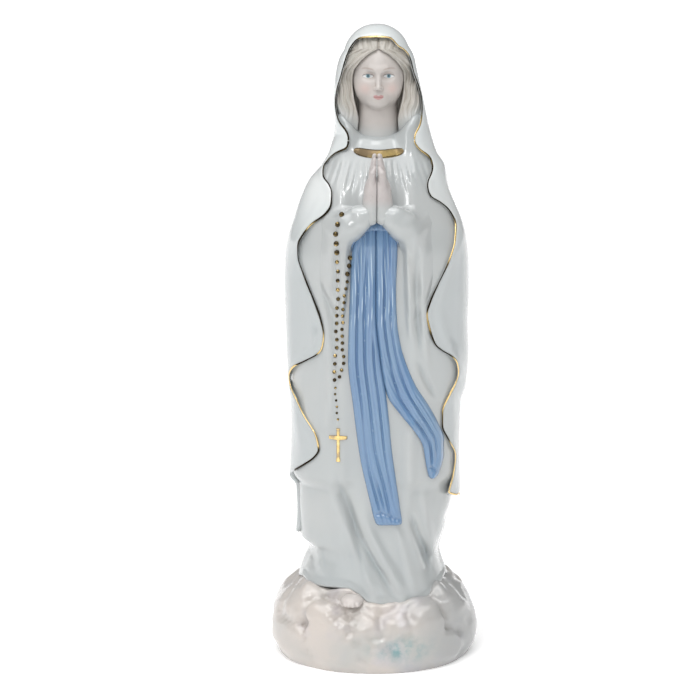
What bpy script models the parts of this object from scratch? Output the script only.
"""Glazed porcelain madonna statue, about twelve inches tall, on a base of rounded rocks.

The figure faces -Y with +Z up, and the origin is the centre of the base's underside.
Every size below is in millimetres and is turned into metres when a mesh is made.
Left and right in the names are the figure's own: its right hand is on the -X side.
"""
import math

import bmesh
import bpy
from mathutils import Vector, noise

MM = 0.001
GAP = 0.3                  # clearance between neighbouring pieces
AXIS_X = 1.0               # the figure stands this far right of the base's centre
AROUND = 36                # points around the gown and the mantle
SHARED_LEVELS = (58, 70, 85, 105, 125, 145, 165, 185, 200, 212, 222, 230, 235, 238, 240.5, 243, 246)

HEIGHT = 300.0
HOOD_SPRING = 270.0        # the veil's dome begins here
MANTLE_WALL = 2.8
MANTLE_HEM = 58.0          # lowest edge, at the back
MANTLE_FRONT_HEM = 86.0    # where the two front edges end
GOWN_WALL = 3.0
GOWN_BOTTOM = 31.0
GOWN_NECK = 246.0
BASE_WIDTH = 99.0
BASE_DEPTH = 84.0
BASE_WALL = 4.0
BASE_AROUND = 40
FOOT_RING_INSET = 1.5      # the bottom edge is drawn in this far
CREST_FRONT = 34.0         # top of the rocks before and behind the gown
CREST_SIDE = 45.0          # top of the two big lobes beside it
LUMP_HEIGHT = 2.6
HOLLOW_SHOULDER = 14.0     # the hollow narrows above this level
SOCKET_FLOOR = 30.5        # the gown stands on the rocks here
VENT_RADIUS = 10.0
FOOT_SIZE = Vector((13.6, 9.4, 7.0))
FOOT_CENTRE = Vector((-10.8, -34.6, 36.0))
TRIM_RADIUS = 0.6
BEAD_RADIUS = 1.05
BEAD_PITCH = 3.7


def smooth(*points):
    """A smooth curve through (z, value) points that never overshoots them."""
    points = sorted(points)
    zs = [p[0] for p in points]
    values = [p[1] for p in points]
    steps = [b - a for a, b in zip(zs, zs[1:])]
    slopes = [(b - a) / h for a, b, h in zip(values, values[1:], steps)]
    tangents = [slopes[0]]
    for before, after in zip(slopes, slopes[1:]):
        level = before * after <= 0.0
        tangents.append(0.0 if level else 2.0 * before * after / (before + after))
    tangents.append(slopes[-1])

    def curve(z):
        z = min(max(z, zs[0]), zs[-1])
        i = max(k for k in range(len(steps)) if zs[k] <= z)
        t = (z - zs[i]) / steps[i]
        rise = steps[i] * (tangents[i] * t * (1 - t) ** 2 - tangents[i + 1] * t * t * (1 - t))
        return values[i] + (values[i + 1] - values[i]) * t * t * (3 - 2 * t) + rise
    return curve


# Half-widths and half-depths of the mantle from its axis, by height.
MANTLE_RIGHT_SIDE = smooth((58, 38.5), (70, 38.0), (81, 38.6), (88, 41.5), (108, 40.6), (147, 42.2),
                           (181, 43.4), (196, 42.2), (210, 38.8), (228, 32.9), (235, 28.2),
                           (242, 23.6), (250, 21.2), (262, 20.2), (270, 20.0))
MANTLE_LEFT_SIDE = smooth((58, 33.0), (67, 35.0), (73, 37.0), (80, 40.4), (103, 39.8), (132, 42.8),
                          (155, 43.4), (190, 43.1), (209, 39.7), (224, 33.5), (235, 31.3),
                          (241, 27.6), (252, 24.8), (263, 23.0), (270, 21.2))
MANTLE_FRONT = smooth((58, 31.0), (180, 31.0), (200, 30.5), (215, 28.0), (232, 23.5), (245, 18.5),
                      (255, 17.0), (270, 18.0))
MANTLE_BACK = smooth((58, 32.0), (150, 30.0), (200, 29.0), (225, 27.0), (240, 25.0), (252, 24.0),
                     (270, 24.5))

# The two front edges of the mantle seen from the front: (z, x).
RIGHT_EDGE = smooth((296.1, 1.0), (295.6, -5), (290.7, -10.6), (286, -13.8), (278, -16), (266, -17.8),
                    (259, -16.5), (251.4, -12), (248.2, -11.5), (245.4, -12.9), (243.6, -18.3),
                    (240, -22.9), (235, -23.8), (225, -18.8), (219, -19.3), (211, -27.5),
                    (200, -34.9), (187, -32.2), (165, -24.4), (158, -23.1), (149, -26.3),
                    (143.5, -36.6), (138.8, -38.2), (127, -35.2), (109, -26.5), (103, -25.6),
                    (96, -32.6), (92, -37.4))
LEFT_EDGE = smooth((296.1, 1.2), (294.8, 7.4), (289, 14.6), (278, 17.8), (265, 21.1), (255.5, 18.9),
                   (250.4, 17.1), (246.3, 19.4), (241.8, 24), (239, 25.4), (230.7, 23.6),
                   (222.4, 26.9), (215, 34.7), (209.9, 36.6), (203, 36.2), (183, 28.6), (168, 23.2),
                   (163, 24.1), (153.5, 27.4), (147.8, 35.4), (140.7, 38.2), (129.7, 34.1),
                   (121.5, 31), (115, 31), (107.5, 33.9), (100.7, 38), (90.9, 36.9), (83.6, 34.6))

# The gown where the mantle doesn't limit it.
GOWN_SIDE = smooth((31, 31.0), (41, 31.3), (54, 34.0), (80, 40.0), (200, 40.0), (224, 30.0),
                   (232, 25.5), (236, 21.0), (239.5, 15.5), (242, 12.6), (246, 11.4))
GOWN_FRONT = smooth((31, 30.0), (60, 28.5), (100, 27.8), (200, 27.3), (215, 24.5), (225, 21.8),
                    (232, 19.0), (239, 16.0), (242, 14.6), (246, 12.0))
GOWN_BACK = smooth((31, 26.0), (80, 27.0), (200, 25.5), (228, 23.0), (236, 19.0), (242, 13.5),
                   (246, 11.4))

# Head and neck: half-width, front and back by height, measured from AXIS_X and y = 0.
HEAD_SIDE = smooth((238, 8.2), (246, 7.6), (256, 7.2), (260.5, 7.8), (263, 8.3), (267, 10.2),
                   (271, 11.3), (277, 11.9), (283, 11.7), (288, 10.0), (291.5, 7.6), (293.6, 3.5))
HEAD_FRONT = smooth((238, 7.6), (256, 7.8), (260, 9.6), (262.2, 14.6), (264, 15.9), (268, 16.4),
                    (274, 16.4), (283, 16.6), (288, 13.6), (291.5, 9.5), (293.6, 4.0))
HEAD_BACK = smooth((238, 8.4), (256, 8.8), (262, 12.0), (270, 16.0), (277, 17.2), (284, 16.0),
                   (289, 12.5), (293.6, 4.0))
NOSE_LENGTH = 2.6
HAIR_THICKNESS = smooth((253, 7.0), (262, 6.4), (271, 4.4), (280, 3.0), (296, 2.6))
# Half of the angle that the hair leaves open around the face.
FACE_OPENING = smooth((253, 0.95), (262, 0.85), (271, 0.80), (278, 0.74), (282, 0.55), (285, 0.2),
                      (287, 0.05), (292, 0.05))

# The sash seen from the front: (z, x) down its edges.
SASH_OUTER = smooth((203, -10.4), (181, -11.5), (166, -12.0), (149, -12.4), (127, -10.1),
                    (102.5, -6.9), (82.7, -2.6), (69.5, 0.9))
SASH_SPLIT = smooth((203, 0.2), (172, 0.4), (150, 2.4), (132.5, 5.4), (121.7, 6.5), (105, 8.0),
                    (91.4, 9.9), (77.3, 11.8), (69.5, 12.6))
SHORT_TAIL_INNER = smooth((203, 1.0), (172, 1.2), (150, 3.2), (132.4, 6.4), (123, 11.6),
                          (114.7, 18.6), (107, 22.9), (99.3, 24.6), (92, 25.6))
SHORT_TAIL_OUTER = smooth((203, 10.0), (181, 9.6), (166.6, 10.1), (155, 12.0), (148.5, 13.9),
                          (136.7, 18.9), (126.7, 25.0), (116.6, 29.5), (109, 31.2), (101.7, 31.0),
                          (92, 28.6))

# The sleeves: upper and lower outline seen from the front, by distance from the palms.
SLEEVE_TOP = smooth((0, 218.0), (5, 219.0), (9, 218.6), (16, 217.0), (23, 213.6), (31, 206.0))
SLEEVE_BOTTOM = smooth((0, 214.4), (4, 212.0), (8, 208.0), (10.4, 205.4), (12.2, 203.4),
                       (14, 180.0), (17, 168.5), (21, 173.0), (26, 184.0), (31, 198.0))

# The rosary's two strands: (z, x).
OUTER_STRAND = smooth((218, -15.2), (213, -17.2), (206, -17.9), (196, -17.4), (182, -17.1),
                      (163, -17.8), (146, -18.6), (134, -18.3), (118, -17.4))
INNER_STRAND = smooth((197, -13.4), (186, -14.4), (172, -14.9), (158, -15.1), (148, -14.6),
                      (142.5, -14.9))
SLEEVE_LIFT = 0.8
CROSS_CENTRE = (-17.2, 111.2)
CROSS_HEIGHT = 16.0
CROSS_WIDTH = 9.0
CROSS_ARM = 1.5

GLAZE = (0.80, 0.82, 0.82)
FLESH = (0.62, 0.52, 0.48)
HAIR = (0.50, 0.45, 0.40)
BLUE = (0.17, 0.30, 0.50)
ROCK = (0.66, 0.60, 0.55)
GOLD = (0.62, 0.44, 0.16)


def material(name, colour, roughness, metallic=0.0):
    made = bpy.data.materials.new(name)
    made.use_nodes = True
    shader = made.node_tree.nodes["Principled BSDF"]
    shader.inputs["Base Color"].default_value = (*colour, 1.0)
    shader.inputs["Roughness"].default_value = roughness
    shader.inputs["Metallic"].default_value = metallic
    made.diffuse_color = (*colour, 1.0)
    return made


def place(name, data, colour, roughness, metallic=0.0):
    """Give a mesh or a curve its object and its own material."""
    obj = bpy.data.objects.new(name, data)
    bpy.context.scene.collection.objects.link(obj)
    data.materials.append(material(name + "_finish", colour, roughness, metallic))
    return obj


def solid(name, bm, colour, roughness, metallic=0.0):
    bmesh.ops.recalc_face_normals(bm, faces=bm.faces)
    mesh = bpy.data.meshes.new(name)
    bm.to_mesh(mesh)
    bm.free()
    mesh.shade_smooth()
    mesh.set_sharp_from_angle(angle=math.radians(50))
    return place(name, mesh, colour, roughness, metallic)


def hide(tool):
    """Mark an object as a tool, which isn't part of the statue."""
    tool.hide_render = True
    tool.display_type = "WIRE"
    return tool


def cutter(name, outline, start, end, across):
    """A prism for cutting: its outline extruded along y (across is x) or along x (across is y)."""
    bm = bmesh.new()
    if across == "x":
        ring = [bm.verts.new(Vector((x, start, z)) * MM) for x, z in outline]
        travel = Vector((0, end - start, 0)) * MM
    else:
        ring = [bm.verts.new(Vector((start, y, z)) * MM) for y, z in outline]
        travel = Vector((end - start, 0, 0)) * MM
    face = bm.faces.new(ring)
    moved = bmesh.ops.extrude_face_region(bm, geom=[face])["geom"]
    bmesh.ops.translate(bm, vec=travel, verts=[v for v in moved if isinstance(v, bmesh.types.BMVert)])
    return hide(solid(name, bm, GLAZE, 0.5))


def cut(obj, tool):
    """Take the tool's shape out of the object."""
    modifier = obj.modifiers.new("cut_" + tool.name, "BOOLEAN")
    modifier.operation = "DIFFERENCE"
    modifier.solver = "EXACT"
    modifier.object = tool


def loft(rings, closed=False):
    """Skin a stack of rings. A closed loft joins its last ring to its first; others get caps."""
    bm = bmesh.new()
    rows = [[bm.verts.new(Vector(p) * MM) for p in ring] for ring in rings]
    pairs = list(zip(rows, rows[1:]))
    if closed:
        pairs.append((rows[-1], rows[0]))
    else:
        bm.faces.new(rows[0])
        bm.faces.new(rows[-1])
    for low, high in pairs:
        for i in range(len(low)):
            j = (i + 1) % len(low)
            bm.faces.new((low[i], low[j], high[j], high[i]))
    return bm


def oval(theta, right, left, front, back, power=2.2):
    """Radius at an angle of an oval whose four quarters have their own half-axes."""
    c, s = math.cos(theta), math.sin(theta)
    wide = right if c > 0 else left
    deep = back if s > 0 else front
    return ((abs(c) / wide) ** power + (abs(s) / deep) ** power) ** (-1 / power)


def mantle_radius(theta, z, inset=0.0):
    """Radius of the mantle's outer surface, or of the surface that lies inset inside it."""
    radius = oval(theta, MANTLE_LEFT_SIDE(z) - inset, MANTLE_RIGHT_SIDE(z) - inset,
                  MANTLE_FRONT(z) - inset, MANTLE_BACK(z) - inset)
    if z > HOOD_SPRING:
        rise = (z - HOOD_SPRING) / (HEIGHT - inset - HOOD_SPRING)
        radius *= math.sqrt(max(1.0 - rise * rise, 0.0))
    return radius


def gown_radius(theta, z):
    """The gown's outer surface: its own outline, kept inside the mantle."""
    own = oval(theta, GOWN_SIDE(z), GOWN_SIDE(z), GOWN_FRONT(z), GOWN_BACK(z))
    if z < MANTLE_HEM:
        return own
    return min(own, mantle_radius(theta, z, MANTLE_WALL + GAP + 0.1))


def head_radius(theta, z):
    radius = oval(theta, HEAD_SIDE(z), HEAD_SIDE(z), HEAD_FRONT(z), HEAD_BACK(z), 2.3)
    off_centre = abs(math.remainder(theta + math.pi / 2, math.tau))
    nose = max(1.0 - abs(z - 271.0) / 5.0, 0.0) * max(1.0 - off_centre / 0.2, 0.0)
    return radius + NOSE_LENGTH * nose


def ring(radius_at, z, lift=0.0, count=AROUND):
    """A ring of points at one height, from a radius that depends on angle and height."""
    points = []
    for i in range(count):
        theta = math.tau * i / count - math.pi / 2
        radius = radius_at(theta, z) + lift
        points.append((AXIS_X + radius * math.cos(theta), radius * math.sin(theta), z))
    return points


def front_point(x, z, lift, radius_at=gown_radius):
    """The point in front of a surface, lift away from it, that is seen at x and z."""
    low, high = -math.pi, 0.0
    for _ in range(40):
        theta = (low + high) / 2
        radius = radius_at(theta, z) + lift
        if AXIS_X + radius * math.cos(theta) < x:
            low = theta
        else:
            high = theta
    return Vector((x, radius * math.sin(theta), z))


def levels(bottom, top, count):
    return [bottom + (top - bottom) * i / (count - 1) for i in range(count)]


def relief(grid, lift=GAP):
    """A closed slab that lies on the gown. The grid holds rows of (x, z, thickness)."""
    bm = bmesh.new()
    back = [[bm.verts.new(front_point(x, z, lift) * MM) for x, z, _ in row] for row in grid]
    front = [[bm.verts.new(front_point(x, z, lift + t) * MM) for x, z, t in row] for row in grid]
    rows, columns = len(grid), len(grid[0])
    for skin in (back, front):
        for i in range(rows - 1):
            for j in range(columns - 1):
                bm.faces.new((skin[i][j], skin[i][j + 1], skin[i + 1][j + 1], skin[i + 1][j]))
    border = [(0, j) for j in range(columns)]
    border += [(i, columns - 1) for i in range(1, rows)]
    border += [(rows - 1, j) for j in range(columns - 2, -1, -1)]
    border += [(i, 0) for i in range(rows - 2, 0, -1)]
    for (i, j), (k, m) in zip(border, border[1:] + border[:1]):
        bm.faces.new((back[i][j], back[k][m], front[k][m], front[i][j]))
    return bm


def cushion(u, v, edge, middle):
    """Thickness across a soft strip: thin at its border and full in the middle."""
    across = 1.0 - (2.0 * u - 1.0) ** 4
    along = 1.0 - (2.0 * v - 1.0) ** 8
    return edge + (middle - edge) * across * along


def strip(left, right, bottom, top, rows, columns, edge, middle):
    """A relief between two edge curves, with long folds."""
    grid = []
    for v, z in zip(levels(0, 1, rows), levels(bottom, top, rows)):
        line = []
        for u in levels(0, 1, columns):
            x = left(z) + (right(z) - left(z)) * u
            line.append((x, z, cushion(u, v, edge, middle)))
        grid.append(line)
    return relief(grid)


def tube(name, points, radius, colour, roughness, swell=None):
    """A round cord through the points. Its swell is the radius factor at each point."""
    curve = bpy.data.curves.new(name, "CURVE")
    curve.dimensions = "3D"
    curve.bevel_depth = radius * MM
    curve.bevel_resolution = 1
    curve.use_fill_caps = True
    spline = curve.splines.new("POLY")
    spline.points.add(len(points) - 1)
    for i, (target, point) in enumerate(zip(spline.points, points)):
        target.co = (*(point * MM), 1.0)
        target.radius = swell[i] if swell else 1.0
    return place(name, curve, colour, roughness, 1.0)


def make_rock_base():
    """A hollow mound of rounded rocks, open below, with a socket for the gown on top."""
    def rim(theta):
        return oval(theta, BASE_WIDTH / 2, BASE_WIDTH / 2, BASE_DEPTH / 2, BASE_DEPTH / 2, 2.3)

    def crest(theta):
        return CREST_FRONT + (CREST_SIDE - CREST_FRONT) * math.cos(theta) ** 2

    def lumps(theta, level):
        spot = Vector((2.6 * math.cos(theta), 2.2 * math.sin(theta), 2.4 * level))
        near = noise.voronoi(spot)[0][0]
        return LUMP_HEIGHT * (0.45 - near)

    def around(place_at):
        points = []
        for i in range(BASE_AROUND):
            theta = math.tau * i / BASE_AROUND - math.pi / 2
            radius, z = place_at(theta)
            points.append((radius * math.cos(theta), radius * math.sin(theta), z))
        return points

    side = smooth((0, 0.985), (0.15, 1.0), (0.5, 0.985), (0.7, 0.92), (0.84, 0.80), (1, 0.70))
    front = smooth((0, 0.985), (0.15, 1.0), (0.5, 0.98), (0.7, 0.93), (0.84, 0.87), (1, 0.78))

    def slope(theta, level):
        return side(level) + (front(level) - side(level)) * math.sin(theta) ** 2

    rings = [around(lambda t: (rim(t) - FOOT_RING_INSET - BASE_WALL, 0.0)),
             around(lambda t: (rim(t) - FOOT_RING_INSET, 0.0))]
    for level in (0.06, 0.16, 0.3, 0.44, 0.58, 0.72, 0.86):
        rings.append(around(lambda t, k=level: (rim(t) * slope(t, k) - 0.9 + 0.9 * lumps(t, k),
                                                crest(t) * k)))
    rings.append(around(lambda t: (rim(t) * slope(t, 1) + 1.0, crest(t))))
    rings.append([(p[0], p[1], SOCKET_FLOOR) for p in ring(gown_radius, GOWN_BOTTOM, 1.2, BASE_AROUND)])
    rings.append(around(lambda t: (VENT_RADIUS, SOCKET_FLOOR)))
    rings.append(around(lambda t: (VENT_RADIUS, SOCKET_FLOOR - BASE_WALL)))
    rings.append(around(lambda t: (rim(t) * 0.66, SOCKET_FLOOR - BASE_WALL - 2.0)))
    rings.append(around(lambda t: (rim(t) - 2.8 - BASE_WALL, HOLLOW_SHOULDER)))
    bm = loft(rings, closed=True)
    for axis, half in ((0, BASE_WIDTH / 2), (1, BASE_DEPTH / 2)):
        spread = [v.co[axis] for v in bm.verts]
        low, high = min(spread), max(spread)
        for v in bm.verts:
            v.co[axis] = (2 * (v.co[axis] - low) / (high - low) - 1) * half * MM
    base = solid("rock_base", bm, ROCK, 0.3)
    socket = solid("gown_socket", loft([ring(gown_radius, z, GAP + 0.1) for z in (30.7, 38, 46, 54)]),
                   GLAZE, 0.5)
    hide(socket)
    cut(base, socket)
    cut(base, hide(foot("foot_space", 2 * GAP)))


def foot(name, swell=0.0):
    """The tip of the right foot, which shows under the hem."""
    bm = bmesh.new()
    bmesh.ops.create_uvsphere(bm, u_segments=14, v_segments=9, radius=MM)
    bmesh.ops.scale(bm, vec=FOOT_SIZE / 2 + Vector((swell, swell, swell)), verts=bm.verts)
    bmesh.ops.translate(bm, vec=FOOT_CENTRE * MM, verts=bm.verts)
    return solid(name, bm, GLAZE, 0.25)


def make_gown():
    """A hollow tube of cloth from the neckline down to the hem."""
    rings = [ring(gown_radius, z) for z in (GOWN_BOTTOM, 38, 48) + SHARED_LEVELS]
    for z in (GOWN_NECK, 241.5, 236, 228, 205, 150, 95, 58, GOWN_BOTTOM):
        inset = max(GOWN_WALL, 0.6 * (GOWN_SIDE(z) - 12.0) if z > 228 else GOWN_WALL)
        rings.append(ring(gown_radius, z, -min(inset, gown_radius(0, z) - 8.9)))
    solid("gown", loft(rings, closed=True), GLAZE, 0.15)


def make_mantle():
    """Veil and cloak in one shell, open down the front between its two edges."""
    heights = SHARED_LEVELS + (78, 93, 250, 256, 264, 272, 279, 285, 290, 294, 297, 299, HEIGHT - 0.01)
    mantle = solid("mantle", loft([ring(mantle_radius, z) for z in sorted(heights)]), GLAZE, 0.12)

    def inside(theta, z):
        return mantle_radius(theta, z, MANTLE_WALL)
    rings = [ring(inside, z) for z in SHARED_LEVELS + (253, 262, 274, 284, 291, 296.4)]
    below = [(x, y, MANTLE_HEM - 3) for x, y, _ in rings[0]]
    lining = solid("mantle_lining", loft([below] + rings), GLAZE, 0.5)
    cut(mantle, hide(lining))

    heights = [92 + 3.4 * i for i in range(60)] + [294.2, 295.4, 296.0]
    right = [(RIGHT_EDGE(z), z) for z in heights]
    left = [(LEFT_EDGE(z), z) for z in reversed([83.6] + heights)]
    skirt = [(60, 79.5), (60, 40), (-60, 40), (-60, MANTLE_FRONT_HEM)]
    cut(mantle, cutter("front_opening", right + left + skirt, -60, -2, "x"))
    sweep = [(-10, 50), (-10, 88), (-2, 84), (6, 70), (12, 60), (16, 50)]
    cut(mantle, cutter("hem_sweep", sweep, -60, 60, "y"))


def make_head():
    heights = (238, 246, 254, 259, 262, 264, 267, 269.5, 271, 273, 276, 280, 284, 288, 291, 293,
               293.8)
    solid("head", loft([ring(head_radius, z, count=28) for z in heights]), FLESH, 0.45)


def make_hair():
    """Hair between the head and the veil: a C in section, closing to a parting over the forehead."""
    def outer(theta, z):
        return min(head_radius(theta, z) + HAIR_THICKNESS(z),
                   mantle_radius(theta, z, MANTLE_WALL + 3 * GAP))

    def inner(theta, z):
        return head_radius(theta, z) + GAP + 0.1

    rings = []
    for z in (253, 256, 260, 264, 268, 272, 276, 279, 281.5, 283.5, 285, 287, 289.5, 292):
        start = FACE_OPENING(z) - math.pi / 2
        angles = levels(start, start + math.tau - 2 * FACE_OPENING(z), 19)
        points = [(outer(t, z), t) for t in angles]
        points += [(inner(t, z), t) for t in reversed(angles)]
        rings.append([(AXIS_X + r * math.cos(t), r * math.sin(t), z) for r, t in points])
    solid("hair", loft(rings), HAIR, 0.4)


def make_hand(side):
    """One hand of the praying pair, palm on the middle plane, fingers up."""
    thick = smooth((219.6, 4.3), (225, 5.4), (231, 4.9), (238, 3.6), (243, 2.5), (246, 1.2))
    deep = smooth((219.6, 4.6), (225, 5.6), (231, 5.4), (238, 4.6), (243, 3.2), (246, 1.4))
    centre = smooth((219.6, -30.5), (232, -29.5), (246, -27.5))
    rings = []
    for z in (219.6, 222, 225, 229, 233, 237, 241, 244, 246):
        points = []
        for angle in levels(-math.pi / 2, math.pi / 2, 11):
            out = GAP / 2 + thick(z) * math.cos(angle)
            points.append((0.6 + side * out, centre(z) + deep(z) * math.sin(angle), z))
        rings.append(points)
    name = "left_hand" if side > 0 else "right_hand"
    solid(name, loft(rings), FLESH, 0.45)


def sleeve_thickness(reach, z):
    """How far a sleeve stands off the gown: a round forearm, and a thinner fold hanging below."""
    middle = (SLEEVE_TOP(reach) + max(SLEEVE_BOTTOM(reach), SLEEVE_TOP(reach) - 16.0)) / 2
    forearm = 1.0 - min(abs(z - middle) / 8.5, 1.0) ** 2
    taper = 11.5 - 0.2 * reach
    return 1.2 + 2.3 * (z < middle) * (1 - forearm) + taper * math.sqrt(forearm)


def make_sleeve(side):
    grid = []
    for reach in (0.2, 2, 4, 6, 8, 10.4, 12.2, 13, 14, 17, 20, 24, 28, 31):
        line = []
        for z in levels(SLEEVE_BOTTOM(reach), SLEEVE_TOP(reach), 9):
            line.append((0.6 + side * reach, z, sleeve_thickness(reach, z)))
        grid.append(line)
    name = "left_sleeve" if side > 0 else "right_sleeve"
    solid(name, relief(grid, SLEEVE_LIFT), GLAZE, 0.12)


def make_sash():
    """A waistband under the hands and two tails, the shorter one blown to the side."""
    band = strip(smooth((203.6, -9.8), (207.5, -7.0), (211, -3.4), (212.6, -0.6)),
                 smooth((203.6, 9.6), (207.5, 7.4), (211, 4.0), (212.6, 1.8)),
                 203.6, 212.6, 6, 9, 0.8, 3.2)
    solid("sash_waistband", band, BLUE, 0.15)
    long_tail = strip(SASH_OUTER, SASH_SPLIT, 69.5, 203.0, 16, 7, 0.8, 2.8)
    solid("sash_long_tail", long_tail, BLUE, 0.15)
    short_tail = strip(SHORT_TAIL_INNER, SHORT_TAIL_OUTER, 92.0, 203.0, 16, 6, 0.8, 2.8)
    solid("sash_short_tail", short_tail, BLUE, 0.15)


def make_collar():
    """The gold band around the front of the neckline."""
    half = smooth((-11.2, 1.0), (-8.5, 1.7), (0, 2.0), (8.5, 1.7), (11.2, 1.0))
    grid = []
    for reach in levels(-11.2, 11.2, 13):
        line = []
        for v in levels(-1, 1, 4):
            line.append((1.4 + reach, 241.6 + 1.2 * (reach / 11.2) ** 2 + v * half(reach), 0.7))
        grid.append(line)
    solid("collar_band", relief(grid, 2 * GAP), GOLD, 0.25, 1.0)


def edge_points(edge, bottom, top, step, outward):
    """Points just outside the mantle along one of its front edges."""
    count = max(round((top - bottom) / step), 2)
    points = []
    for z in levels(bottom, top, count + 1):
        points.append(front_point(edge(z) + outward, z, TRIM_RADIUS + 2 * GAP, mantle_radius))
    return points


def make_trims():
    """Gold lines: one around the veil's face opening and one down each cloak edge."""
    over = edge_points(RIGHT_EDGE, 249, 294, 3.2, -1.0)
    crown = [front_point(x, 296.4, TRIM_RADIUS + GAP, mantle_radius) for x in (-4.0, 1.0, 5.0)]
    back_down = edge_points(LEFT_EDGE, 249, 294, 3.2, 1.0)[::-1]
    tube("veil_gold_trim", over + crown + back_down, TRIM_RADIUS, GOLD, 0.25)
    tube("right_mantle_gold_trim", edge_points(RIGHT_EDGE, 93, 247, 4.0, -1.0), TRIM_RADIUS, GOLD, 0.25)
    tube("left_mantle_gold_trim", edge_points(LEFT_EDGE, 84, 247, 4.0, 1.0), TRIM_RADIUS, GOLD, 0.25)


def make_strand(name, line, bottom, top):
    """A string of beads hanging in front of the sleeve and the gown."""
    points = []
    swell = []
    count = round((top - bottom) / BEAD_PITCH)
    for i in range(count):
        for part, size in ((0.0, 0.45), (0.3, 1.0), (0.7, 1.0)):
            z = top - (i + part) * BEAD_PITCH
            reach = 0.6 - line(z)
            lift = BEAD_RADIUS + 2 * GAP
            if z > SLEEVE_BOTTOM(reach) - 3.0:
                nearby = [max(z + dz, SLEEVE_BOTTOM(reach)) for dz in (-2.5, 0.0, 2.5)]
                lift += SLEEVE_LIFT + max(sleeve_thickness(reach, level) for level in nearby)
            points.append(front_point(line(z), z, lift))
            swell.append(size)
    tube(name, points, BEAD_RADIUS, GOLD, 0.25, swell)


def make_cross():
    x, z = CROSS_CENTRE
    half, arm = CROSS_ARM / 2, CROSS_WIDTH / 2
    top, foot = z + CROSS_HEIGHT * 0.3, z - CROSS_HEIGHT * 0.7
    outline = [(x - half, foot), (x + half, foot), (x + half, z - half), (x + arm, z - half),
               (x + arm, z + half), (x + half, z + half), (x + half, top), (x - half, top),
               (x - half, z + half), (x - arm, z + half), (x - arm, z - half), (x - half, z - half)]
    depth = front_point(x - arm, z, GAP).y
    front = min(front_point(px, pz, GAP).y for px, pz in outline)
    bm = bmesh.new()
    face = bm.faces.new([bm.verts.new(Vector((px, front, pz)) * MM) for px, pz in outline])
    moved = bmesh.ops.extrude_face_region(bm, geom=[face])["geom"]
    verts = [v for v in moved if isinstance(v, bmesh.types.BMVert)]
    bmesh.ops.translate(bm, vec=Vector((0, min(depth - front, 0) - 1.1, 0)) * MM, verts=verts)
    solid("rosary_cross", bm, GOLD, 0.25, 1.0)


def main():
    for obj in list(bpy.data.objects):
        bpy.data.objects.remove(obj)
    make_rock_base()
    foot("right_foot")
    make_gown()
    make_mantle()
    make_head()
    make_hair()
    for side in (-1, 1):
        make_hand(side)
        make_sleeve(side)
    make_sash()
    make_collar()
    make_trims()
    make_strand("rosary_outer_strand", OUTER_STRAND, 117.5, 217.5)
    make_strand("rosary_inner_strand", INNER_STRAND, 143.0, 196.0)
    make_cross()


main()
